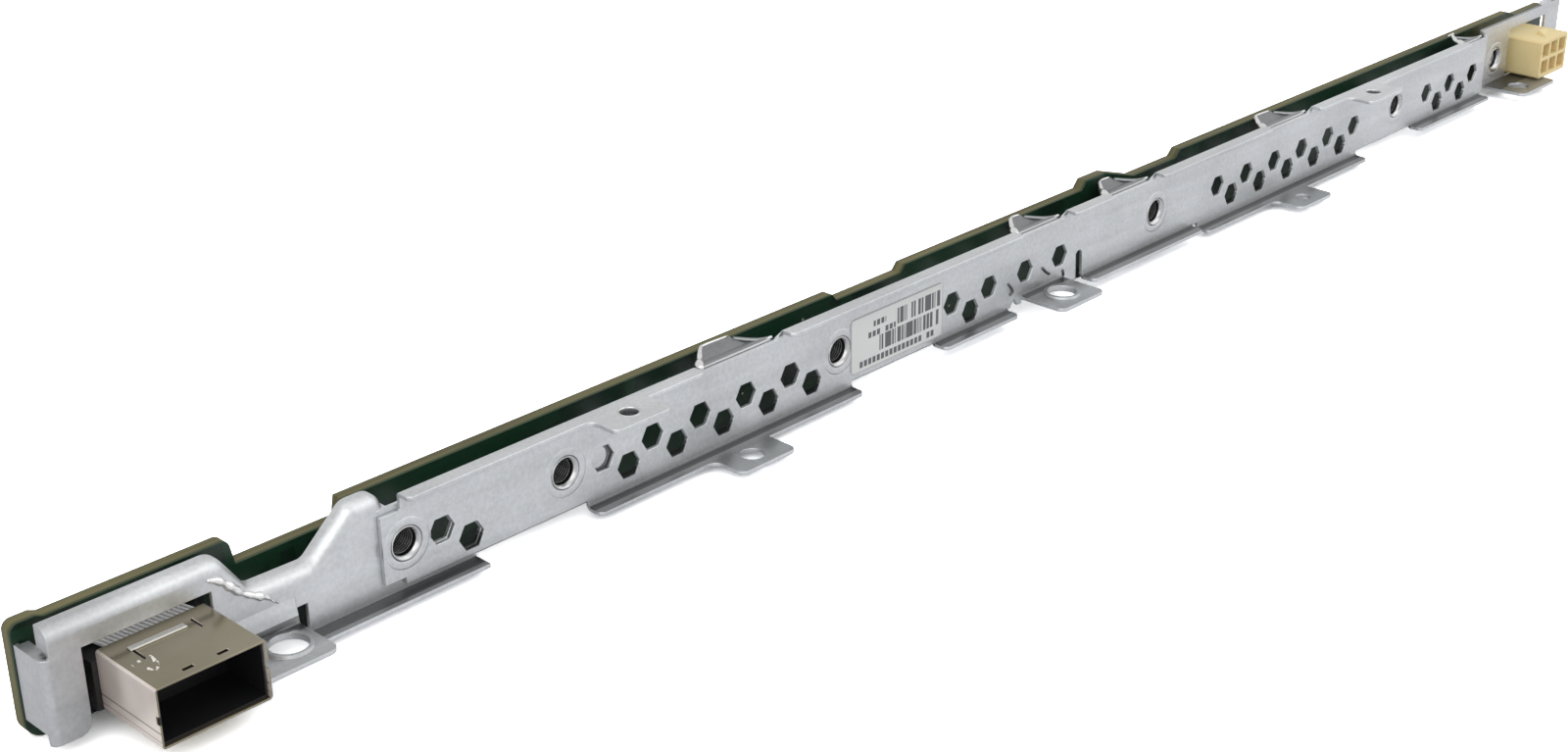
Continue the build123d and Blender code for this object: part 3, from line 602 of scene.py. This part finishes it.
DRESSED = [("port_insert", black), ("port_contacts", tail_tin), ("power_pins", tin),
           ("label_plate", label), ("status_lights", lens_clear)]
DRESSED += [(f"socket_contacts_{bay}", gold) for bay in BAYS]
for name, finish in DRESSED:
    dress(name, finish)
print("dressed", len(DRESSED), "nodes")

# %% [markdown]
# What repeats comes from Geometry Nodes. One tree stacks thin rings along the depth axis
# on each given point, which makes the threads inside every standoff.


# %% Geometry Nodes helpers
class Grove:
    """A Geometry Nodes tree with named inputs, run on a cloud of points."""

    def __init__(self, name, **sizes):
        self.tree = bpy.data.node_groups.new(name, "GeometryNodeTree")
        sockets = self.tree.interface
        sockets.new_socket(name="Points", in_out="INPUT", socket_type="NodeSocketGeometry")
        sockets.new_socket(name="Geometry", in_out="OUTPUT", socket_type="NodeSocketGeometry")
        self.values = {}
        for key, value in sizes.items():
            kind = "NodeSocketInt" if isinstance(value, int) else "NodeSocketFloat"
            socket = sockets.new_socket(name=key, in_out="INPUT", socket_type=kind)
            self.values[key] = (socket.identifier, value)
        self.source = self.tree.nodes.new("NodeGroupInput")
        self.end = self.tree.nodes.new("NodeGroupOutput")

    def size(self, key):
        """The named input of the tree."""
        return Wire(self.tree, self.source.outputs[key])

    def node(self, kind, settings=None, values=None, output=0):
        return make_node(self.tree, kind, settings, values, output)

    def join(self, *parts):
        node = self.tree.nodes.new("GeometryNodeJoinGeometry")
        for part in parts:
            self.tree.links.new(part.socket, node.inputs[0])
        return Wire(self.tree, node.outputs[0])

    def finish_with(self, unit, finish=None):
        """Put the unit on every point, make it real, and paint it where a finish is given."""
        many = self.node("GeometryNodeInstanceOnPoints", None,
                         {"Points": self.size("Points"), "Instance": unit})
        real = self.node("GeometryNodeRealizeInstances", None, {0: many})
        if finish:
            real = self.paint(real, finish)
        self.tree.links.new(real.socket, self.end.inputs[0])

    def paint(self, part, finish):
        return self.node("GeometryNodeSetMaterial", None,
                         {"Geometry": part, "Material": finish.material})

    def grow(self, name, points):
        """Run the tree on the points and keep the result as a plain mesh."""
        mesh = bpy.data.meshes.new(name + "_points")
        mesh.from_pydata([tuple(point) for point in points], [], [])
        piece = linked(name, mesh)
        modifier = piece.modifiers.new("grove", "NODES")
        modifier.node_group = self.tree
        for identifier, value in self.values.values():
            modifier[identifier] = value
        made = baked(piece)
        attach(piece, "root")
        print(name, len(made.polygons), "faces")


# %% Threads
THREAD_START = 1.5
rings = Grove("rings", Radius=BORE_R * MM, Wire=0.17 * MM, Depth=0.5 * MM, Count=9)
hoop = rings.node("GeometryNodeCurvePrimitiveCircle", None,
                  {"Resolution": 40, "Radius": rings.size("Radius")})
section = rings.node("GeometryNodeCurvePrimitiveCircle", None,
                     {"Resolution": 8, "Radius": rings.size("Wire")})
ring = rings.node("GeometryNodeCurveToMesh", None, {"Curve": hoop, "Profile Curve": section})
ring = rings.node("GeometryNodeTransform", None,
                  {"Geometry": ring, "Rotation": (math.pi / 2, 0.0, 0.0)})
ring = rings.node("GeometryNodeSetShadeSmooth", None, {"Geometry": ring})
step = rings.node("ShaderNodeCombineXYZ", None, {0: 0.0, 1: rings.size("Depth"), 2: 0.0})
line = rings.node("GeometryNodeMeshLine", None, {"Count": rings.size("Count"), "Offset": step})
stack = rings.node("GeometryNodeInstanceOnPoints", None, {"Points": line, "Instance": ring})
# The rings are the dark steel, painted shade deep in the bore.
rings.finish_with(stack, painted_shade_steel)
rings.grow("insert_threads", [at(x, y + THREAD_START, z) for x, y, z in STANDS])

# %% [markdown]
# Round work that hugs a hole is turned from a closed profile of (radius, depth) pairs:
# each standoff with its countersunk mouth, the soft dimple that pressing it in left on the
# wall, and the drawn collars under the two tapped holes of the top ears. A black disc deep
# in each tapped hole is painted shade for the hole's dark depth.


# %% Turned work
def turned(name, places, profile, finish, upright=False, sides=44):
    """Revolve a closed profile at each place, about y or, when upright, about z."""
    grid = bmesh.new()
    for x, y, z in places:
        loops = []
        for k in range(sides):
            turn = 2 * math.pi * k / sides
            loop = []
            for radius, depth in (profile(y) if callable(profile) else profile):
                a, b = radius * math.cos(turn), radius * math.sin(turn)
                spot = (x + a, y + b, z + depth) if upright else (x + a, y + depth, z + b)
                loop.append(grid.verts.new(at(*spot)))
            loops.append(loop)
        for k in range(sides):
            one, two = loops[k], loops[(k + 1) % sides]
            for i in range(len(one)):
                j = (i + 1) % len(one)
                grid.faces.new((one[i], two[i], two[j], one[j]))
    return finished_mesh(grid, name, finish)


def finished_mesh(grid, name, finish):
    """Turn a bmesh of closed shells into a smooth piece that rides on the root."""
    bmesh.ops.recalc_face_normals(grid, faces=grid.faces)
    for face in grid.faces:
        face.smooth = True
    mesh = bpy.data.meshes.new(name)
    grid.to_mesh(mesh)
    grid.free()
    mesh.materials.append(finish.material)
    piece = linked(name, mesh)
    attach(piece, "root")
    print(name, len(mesh.polygons), "faces")
    return piece


def standoff(y):
    """Tube with a countersunk mouth that ends on the board."""
    end = BOARD_FRONT - y
    return [(STAND_R, 0.0), (2.72, -0.04), (2.62, -0.05), (2.20, 0.9), (BORE_R, 1.1),
            (BORE_R, end), (STAND_R, end)]


DIMPLE = [(2.90, 0.05), (3.05, -0.01), (3.5, -0.05), (4.0, -0.035), (4.6, 0.05)]
COLLAR = [(1.62, 0.05), (1.78, 0.09), (1.95, 0.03), (2.25, -0.9), (2.15, -1.5), (1.75, -1.6),
          (1.62, -1.5)]
DEPTH = [(0.02, -0.9), (1.66, -0.9), (1.66, -1.3), (0.02, -1.3)]
tapped = [(x, y, RAIL_TOP) for x, y in TOP_HOLES]
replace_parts(turned("standoff_tubes", STANDS, standoff, standoff_steel), "standoffs")
turned("pressed_dimples", STANDS, DIMPLE, zinc)
turned("tapped_collars", tapped, COLLAR, steel, upright=True)
# Painted shade: a black disc inside each tapped hole.
turned("tapped_hole_shades", tapped, DEPTH, black, upright=True)

# %% [markdown]
# Under the drawn rim the bracket's sheet has puckered into a rough seam. It is a thin
# tube along the measured points, its radius uneven, sunk half into the sheet. The tube is
# pale zinc as a painted highlight, and a thin dark tube beside it is painted shade in the
# crease.

# %% Forming seam
SEAM = [(-181.7, 7.6), (-179.9, 6.8), (-178.2, 5.2), (-176.6, 3.5), (-174.4, 2.1),
        (-172.7, 1.2), (-171.4, -0.2)]
SEAM_RADII = [0.20, 0.62, 0.72, 0.50, 0.62, 0.44, 0.14]
SEAM_Y = 0.74
SEAM_RIPPLE, RIPPLE_FAST, RIPPLE_SLOW = 0.28, 0.9, 0.37
CREASE_SHIFT, CREASE_SHARE = (0.55, 0.02, -0.5), 0.3
STEPS = 6


def smooth_path(points, steps):
    """Points along a Catmull-Rom curve through the given ones, with their last number."""
    path = []
    for i in range(len(points) - 1):
        a, b, c, d = (points[max(0, min(len(points) - 1, i + k))] for k in (-1, 0, 1, 2))
        for s in range(steps):
            t = s / steps
            path.append(tuple(
                0.5 * (2 * q + (r - p) * t + (2 * p - 5 * q + 4 * r - w) * t * t
                       + (3 * q - p - 3 * r + w) * t ** 3)
                for p, q, r, w in zip(a, b, c, d)))
    path.append(points[-1])
    return path


def tube(name, path, finish, sides=10):
    """Tube along (x, y, z, radius) points in rail millimetres."""
    grid = bmesh.new()
    loops = []
    for i, (x, y, z, radius) in enumerate(path):
        before, after = path[max(0, i - 1)], path[min(len(path) - 1, i + 1)]
        along = Vector([b - a for a, b in zip(before[:3], after[:3])]).normalized()
        across = along.cross(Vector((0, 1, 0))).normalized()
        up = across.cross(along)
        loop = []
        for k in range(sides):
            turn = 2 * math.pi * k / sides
            off = (across * math.cos(turn) + up * math.sin(turn)) * radius
            loop.append(grid.verts.new(at(x + off.x, y + off.y, z + off.z)))
        loops.append(loop)
    for one, two in zip(loops, loops[1:]):
        for k in range(sides):
            grid.faces.new((one[k], one[(k + 1) % sides], two[(k + 1) % sides], two[k]))
    grid.faces.new(loops[0][::-1])
    grid.faces.new(loops[-1])
    return finished_mesh(grid, name, finish)


seam_path = smooth_path([(x, SEAM_Y, z, r) for (x, z), r in zip(SEAM, SEAM_RADII)], STEPS)
rippled = []
creased = []
for i, (x, y, z, r) in enumerate(seam_path):
    ripple = SEAM_RIPPLE * math.sin(RIPPLE_FAST * i) * math.cos(RIPPLE_SLOW * i)
    rippled.append((x, y, z, r + ripple * r))
    creased.append((*(a + b for a, b in zip((x, y, z), CREASE_SHIFT)), CREASE_SHARE * r))
tube("forming_seam", rippled, highlight_zinc)
tube("seam_crease_shade", creased, painted_shade_steel)

# %% [markdown]
# Three short cuts beside the middle ear let its corner fold without tearing the wall.
# Each is a dark tube, its darkness painted shade in the cut.

# %% Relief cuts
CUT_Y, CUT_RADIUS, CUT_TIP, CUT_STEPS = -0.02, 0.30, 0.08, 5
RELIEFS = [[(-5.4, -0.9), (-4.2, -2.2), (-3.9, -3.1), (-4.7, -3.5)],
           [(5.2, -0.7), (6.4, -1.9), (7.8, -2.9)], [(11.9, -3.0), (12.3, -4.6)]]
for number, bends in enumerate(RELIEFS, 1):
    cut = smooth_path([(x, CUT_Y, z, CUT_RADIUS) for x, z in bends], CUT_STEPS)
    cut[0] = (*cut[0][:3], CUT_TIP)
    cut[-1] = (*cut[-1][:3], CUT_TIP)
    tube(f"relief_cut_{number}", cut, painted_shade_steel)

# %% [markdown]
# Each board tab is dished between the wall and the board, and its cut edge curls up.
# The near curl is pale zinc as a painted highlight; the dish itself is darkened in the
# rail's colour as painted shade.

# %% Curled tab edges
TAB_LEFT_CUT, TAB_RIGHT_CUT = 6.6, 5.0
for number, (left, right) in enumerate(BOARD_TABS, 1):
    near_curl = [(left + 0.2, 0.7, 7.9, 0.55), (left + 1.1, 2.0, 7.85, 0.84),
                 (left + TAB_LEFT_CUT / 2, 4.2, 7.35, 0.62),
                 (left + TAB_LEFT_CUT - 0.6, 6.8, 7.75, 0.36),
                 (left + TAB_LEFT_CUT + 1.0, 7.5, 7.80, 0.26),
                 (right - TAB_RIGHT_CUT - 0.5, 7.4, 7.75, 0.20)]
    far_curl = [(right - 1.0, 1.0, 8.1, 0.24), (right - 2.6, 3.0, 7.45, 0.34),
                (right - TAB_RIGHT_CUT, 6.5, 7.55, 0.26)]
    tube(f"tab_curl_{number}_a", smooth_path(near_curl, STEPS), highlight_zinc)
    tube(f"tab_curl_{number}_b", smooth_path(far_curl, STEPS), zinc)

# %% [markdown]
# The drive side carries rows of small chip resistors beside each socket. Each is a dark
# body between two tinned ends, put on every point of a fixed pattern.

# %% Small parts of the drive side
BODY_SHARE, END_SHARE, END_AT, END_HIGH, END_WIDE = 0.66, 0.20, 0.41, 1.12, 1.04
CHIP_PITCH, CHIP_LIFT, CHIP_LIMIT = 2.6, 0.22, 205.0
CHIP_COLUMNS, CHIP_ROWS = (-6.5, -5.5, -2.2, 1.0, 2.0), (-1.6, 0.2)
chips = Grove("passives", Length=1.6 * MM, Width=0.8 * MM, Height=0.45 * MM)
body_size = chips.node("ShaderNodeCombineXYZ", None, {
    0: chips.size("Length") * BODY_SHARE, 1: chips.size("Height"), 2: chips.size("Width")})
end_size = chips.node("ShaderNodeCombineXYZ", None, {
    0: chips.size("Length") * END_SHARE, 1: chips.size("Height") * END_HIGH,
    2: chips.size("Width") * END_WIDE})
body = chips.paint(chips.node("GeometryNodeMeshCube", None, {"Size": body_size}), resin)
end = chips.node("GeometryNodeMeshCube", None, {"Size": end_size})
shift = chips.size("Length") * END_AT
right = chips.node("ShaderNodeCombineXYZ", None, {0: shift, 1: 0.0, 2: 0.0})
left = chips.node("ShaderNodeCombineXYZ", None, {0: shift * -1.0, 1: 0.0, 2: 0.0})
ends = chips.join(
    chips.node("GeometryNodeTransform", None, {"Geometry": end, "Translation": right}),
    chips.node("GeometryNodeTransform", None, {"Geometry": end, "Translation": left}))
chips.finish_with(chips.join(body, chips.paint(ends, tin)))
places = [at(centre + column * CHIP_PITCH, BOARD_BACK + CHIP_LIFT, row)
          for centre in SOCKETS for column in CHIP_COLUMNS for row in CHIP_ROWS
          if centre + column * CHIP_PITCH < CHIP_LIMIT]
chips.grow("chip_passives", places)

# %% [markdown]
# Three large, soft lamps light the part: one overhead and one from either side.


# %% Lamps
def lamp(name, place, aim, size, power):
    """Soft square lamp that looks at the aim."""
    light = bpy.data.lights.new(name, "AREA")
    light.shape = "RECTANGLE"
    light.size, light.size_y = size
    light.energy = power
    piece = linked(name, light)
    piece.location = place
    piece.rotation_euler = (Vector(aim) - Vector(place)).to_track_quat("-Z", "Y").to_euler()
    print(name, power, "W")


lamp("soft_top", (-0.1, -0.2, 0.9), (0.0, 0.0, 0.0), (2.2, 1.6), 4.5)
lamp("soft_left", (-0.9, -0.5, 0.5), (0.0, 0.0, 0.0), (1.3, 1.0), 4.3)
lamp("soft_right", (0.7, -0.6, 0.5), (0.1, 0.0, 0.0), (1.3, 1.0), 2.7)

# %% [markdown]
# The world is white to the camera and to mirrored and passing rays. As light it is dim
# near the horizon and bright overhead, so level sheet and upright sheet differ.

# %% World
WORLD_STRENGTH = 0.8
SKY = [(0.50, (0.16, 0.16, 0.17)), (0.68, (0.36, 0.36, 0.37)), (0.92, (0.95, 0.96, 1.0))]
WHITE = (1.0, 1.0, 1.0, 1.0)
world = bpy.data.worlds.new("studio")
world.use_nodes = True
bpy.context.scene.world = world
tree = world.node_tree
back = tree.nodes["Background"]
ray = (make_node(tree, "ShaderNodeLightPath", output="Is Camera Ray")
       + make_node(tree, "ShaderNodeLightPath", output="Is Glossy Ray")
       + make_node(tree, "ShaderNodeLightPath", output="Is Transmission Ray")).clamp()
direction = make_node(tree, "ShaderNodeTexCoord", output="Generated")
rise = make_node(tree, "ShaderNodeSeparateXYZ", None, {0: direction}, output="Z")
sky = make_node(tree, "ShaderNodeValToRGB", {"stops": SKY}, {0: rise * 0.5 + 0.5})
blend = make_node(tree, "ShaderNodeMix", {"data_type": "RGBA"}, {0: ray, 6: sky, 7: WHITE},
                  output=2)
tree.links.new(blend.socket, back.inputs["Color"])
back.inputs["Strength"].default_value = WORLD_STRENGTH
print("world", WORLD_STRENGTH)

# %% [markdown]
# The floor is lighter to the camera than to the part and keeps its soft shadow. The strip
# right under the board is painted dark to the camera, a painted shadow of the closed gap
# behind the rail.

# %% Floor
FLOOR_SIZE, FLOOR_TO_CAMERA = 8.0, 2.6
UNDER_NEAR, UNDER_FAR, UNDER_SHADOW_TONE = 4.6, 10.2, (0.04, 0.05, 0.045)
UNDER_LEFT, UNDER_RIGHT = (-165.0, -4.0), (9.0, 186.0)
bpy.ops.mesh.primitive_plane_add(size=FLOOR_SIZE, location=(0.0, 0.0, 0.0))
floor = bpy.context.object
floor.name = "floor"
paper = Finish("floor_paper", (0.85, 0.85, 0.86), 0.9)
bright = paper.tree.nodes.new("ShaderNodeBsdfDiffuse")
x, y, z = paper.rail_measures()
# Painted shadow: a dark strip under the board.
under = window(y, UNDER_NEAR, UNDER_FAR) * (
    window(x, *UNDER_LEFT) + window(x, *UNDER_RIGHT)).clamp()
glow = paper.mix(under, (FLOOR_TO_CAMERA,) * 3, UNDER_SHADOW_TONE)
paper.tree.links.new(glow.socket, bright.inputs["Color"])
choose = paper.tree.nodes.new("ShaderNodeMixShader")
seen = paper.node("ShaderNodeLightPath", output="Is Camera Ray")
paper.tree.links.new(seen.socket, choose.inputs[0])
paper.tree.links.new(paper.shader.outputs[0], choose.inputs[1])
paper.tree.links.new(bright.outputs[0], choose.inputs[2])
paper.tree.links.new(choose.outputs[0], paper.tree.nodes["Material Output"].inputs[0])
floor.data.materials.append(paper.material)
print("floor", FLOOR_SIZE, "m")
